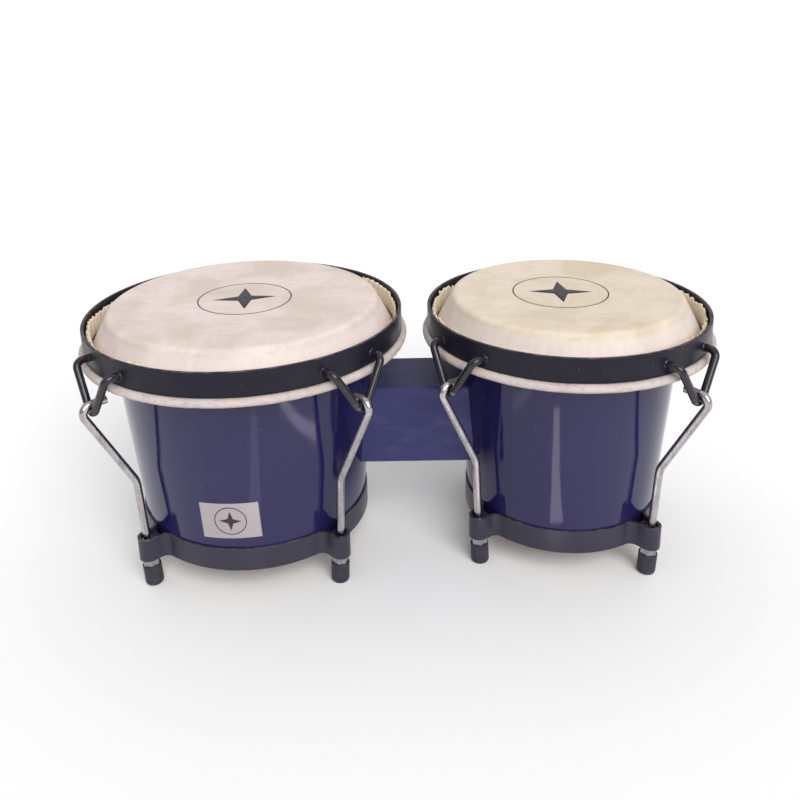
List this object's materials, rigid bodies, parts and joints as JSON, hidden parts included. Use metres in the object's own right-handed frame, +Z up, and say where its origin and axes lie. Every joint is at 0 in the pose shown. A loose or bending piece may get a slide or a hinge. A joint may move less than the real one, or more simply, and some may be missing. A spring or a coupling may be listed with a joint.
{
  "type": "pair of bongo drums",
  "caption": "Bongo drums: two tapered wooden shells joined by a block, with rod-tuned rawhide heads on steel rims, standing on rubber feet.",
  "frame": {"origin": "middle of the base: on the standing surface, at the centre of the bounding box", "axes": "+Z up, +X from the large drum to the small drum, -Y the front"},
  "size_m": [0.4398, 0.228, 0.184],
  "materials": {
    "shell_lacquer": "gloss",
    "block_paint": "satin",
    "rawhide": "matte",
    "skin_edge": "matte",
    "black_steel": "satin",
    "black_wire": "semi-gloss",
    "plated_steel": "bright plated",
    "zinc_nut": "zinc plated",
    "bare_steel": "zinc plated",
    "foot_rubber": "matte",
    "foil": "satin"
  },
  "bodies": {
    "root": {"large_shell": "shell_lacquer", "large_bottom_hoop": "black_steel", "large_lug_plates": "black_steel", "large_head": "rawhide", "small_shell": "shell_lacquer", "small_bottom_hoop": "black_steel", "small_lug_plates": "black_steel", "small_head": "rawhide", "center_block": "block_paint", "tie_rods": "bare_steel", "tie_washers": "bare_steel", "tie_nuts": "bare_steel", "label": "foil"},
    "large_rim_set": {"large_rim": "black_steel", "large_rim_loops": "black_wire", "large_skin_lap": "skin_edge", "large_flesh_hoop": "bare_steel"},
    "large_rod_1": {"large_tuning_rod_1": "plated_steel"},
    "large_nut_1": {"large_tuning_nut_1": "zinc_nut", "large_foot_cap_1": "foot_rubber"},
    "large_rod_2": {"large_tuning_rod_2": "plated_steel"},
    "large_nut_2": {"large_tuning_nut_2": "zinc_nut", "large_foot_cap_2": "foot_rubber"},
    "large_rod_3": {"large_tuning_rod_3": "plated_steel"},
    "large_nut_3": {"large_tuning_nut_3": "zinc_nut", "large_foot_cap_3": "foot_rubber"},
    "large_rod_4": {"large_tuning_rod_4": "plated_steel"},
    "large_nut_4": {"large_tuning_nut_4": "zinc_nut", "large_foot_cap_4": "foot_rubber"},
    "small_rim_set": {"small_rim": "black_steel", "small_rim_loops": "black_wire", "small_skin_lap": "skin_edge", "small_flesh_hoop": "bare_steel"},
    "small_rod_1": {"small_tuning_rod_1": "plated_steel"},
    "small_nut_1": {"small_tuning_nut_1": "zinc_nut", "small_foot_cap_1": "foot_rubber"},
    "small_rod_2": {"small_tuning_rod_2": "plated_steel"},
    "small_nut_2": {"small_tuning_nut_2": "zinc_nut", "small_foot_cap_2": "foot_rubber"},
    "small_rod_3": {"small_tuning_rod_3": "plated_steel"},
    "small_nut_3": {"small_tuning_nut_3": "zinc_nut", "small_foot_cap_3": "foot_rubber"},
    "small_rod_4": {"small_tuning_rod_4": "plated_steel"},
    "small_nut_4": {"small_tuning_nut_4": "zinc_nut", "small_foot_cap_4": "foot_rubber"}
  },
  "joints": [
    {"name": "large_nut_1_turn", "type": "hinge", "parent": "root", "child": "large_nut_1", "pos_m": [-0.17036, -0.06446, 0], "axis": [-0.0407, -0.0407, 0.9983], "range_deg": [-722, 1443]},
    {"name": "large_rod_1_slide", "type": "slide", "parent": "root", "child": "large_rod_1", "axis": [-0.0407, -0.0407, 0.9983], "range_m": [-0.00402, 0.00202]},
    {"name": "large_nut_2_turn", "type": "hinge", "parent": "root", "child": "large_nut_2", "pos_m": [-0.04144, -0.06446, 0], "axis": [0.0407, -0.0407, 0.9983], "range_deg": [-722, 1443]},
    {"name": "large_rod_2_slide", "type": "slide", "parent": "root", "child": "large_rod_2", "axis": [0.0407, -0.0407, 0.9983], "range_m": [-0.00402, 0.00202]},
    {"name": "large_nut_3_turn", "type": "hinge", "parent": "root", "child": "large_nut_3", "pos_m": [-0.04144, 0.06446, 0], "axis": [0.0407, 0.0407, 0.9983], "range_deg": [-722, 1443]},
    {"name": "large_rod_3_slide", "type": "slide", "parent": "root", "child": "large_rod_3", "axis": [0.0407, 0.0407, 0.9983], "range_m": [-0.00402, 0.00202]},
    {"name": "large_nut_4_turn", "type": "hinge", "parent": "root", "child": "large_nut_4", "pos_m": [-0.17036, 0.06446, 0], "axis": [-0.0407, 0.0407, 0.9983], "range_deg": [-722, 1443]},
    {"name": "large_rod_4_slide", "type": "slide", "parent": "root", "child": "large_rod_4", "axis": [-0.0407, 0.0407, 0.9983], "range_m": [-0.00402, 0.00202]},
    {"name": "large_rim_slide", "type": "slide", "parent": "root", "child": "large_rim_set", "axis": [0, 0, 1], "range_m": [-0.004, 0.002]},
    {"name": "small_nut_1_turn", "type": "hinge", "parent": "root", "child": "small_nut_1", "pos_m": [0.05681, -0.04568, 0], "axis": [-0.0466, -0.0338, 0.9983], "range_deg": [-722, 1443]},
    {"name": "small_rod_1_slide", "type": "slide", "parent": "root", "child": "small_rod_1", "axis": [-0.0466, -0.0338, 0.9983], "range_m": [-0.00402, 0.00202]},
    {"name": "small_nut_2_turn", "type": "hinge", "parent": "root", "child": "small_nut_2", "pos_m": [0.16924, -0.06009, 0], "axis": [0.0366, -0.0444, 0.9983], "range_deg": [-722, 1443]},
    {"name": "small_rod_2_slide", "type": "slide", "parent": "root", "child": "small_rod_2", "axis": [0.0366, -0.0444, 0.9983], "range_m": [-0.00402, 0.00202]},
    {"name": "small_nut_3_turn", "type": "hinge", "parent": "root", "child": "small_nut_3", "pos_m": [0.18279, 0.04568, 0], "axis": [0.0466, 0.0338, 0.9983], "range_deg": [-722, 1443]},
    {"name": "small_rod_3_slide", "type": "slide", "parent": "root", "child": "small_rod_3", "axis": [0.0466, 0.0338, 0.9983], "range_m": [-0.00402, 0.00202]},
    {"name": "small_nut_4_turn", "type": "hinge", "parent": "root", "child": "small_nut_4", "pos_m": [0.07036, 0.06009, 0], "axis": [-0.0366, 0.0444, 0.9983], "range_deg": [-722, 1443]},
    {"name": "small_rod_4_slide", "type": "slide", "parent": "root", "child": "small_rod_4", "axis": [-0.0366, 0.0444, 0.9983], "range_m": [-0.00402, 0.00202]},
    {"name": "small_rim_slide", "type": "slide", "parent": "root", "child": "small_rim_set", "axis": [0, 0, 1], "range_m": [-0.004, 0.002]}
  ],
  "couplings": [
    {"joint": "large_nut_1_turn", "follows": "large_rim_slide", "rad_per_m": -6293.6},
    {"joint": "large_rod_1_slide", "follows": "large_rim_slide", "ratio": 1.0017},
    {"joint": "large_nut_2_turn", "follows": "large_rim_slide", "rad_per_m": -6293.6},
    {"joint": "large_rod_2_slide", "follows": "large_rim_slide", "ratio": 1.0017},
    {"joint": "large_nut_3_turn", "follows": "large_rim_slide", "rad_per_m": -6293.6},
    {"joint": "large_rod_3_slide", "follows": "large_rim_slide", "ratio": 1.0017},
    {"joint": "large_nut_4_turn", "follows": "large_rim_slide", "rad_per_m": -6293.6},
    {"joint": "large_rod_4_slide", "follows": "large_rim_slide", "ratio": 1.0017},
    {"joint": "small_nut_1_turn", "follows": "small_rim_slide", "rad_per_m": -6293.6},
    {"joint": "small_rod_1_slide", "follows": "small_rim_slide", "ratio": 1.0017},
    {"joint": "small_nut_2_turn", "follows": "small_rim_slide", "rad_per_m": -6293.6},
    {"joint": "small_rod_2_slide", "follows": "small_rim_slide", "ratio": 1.0017},
    {"joint": "small_nut_3_turn", "follows": "small_rim_slide", "rad_per_m": -6293.6},
    {"joint": "small_rod_3_slide", "follows": "small_rim_slide", "ratio": 1.0017},
    {"joint": "small_nut_4_turn", "follows": "small_rim_slide", "rad_per_m": -6293.6},
    {"joint": "small_rod_4_slide", "follows": "small_rim_slide", "ratio": 1.0017}
  ]
}
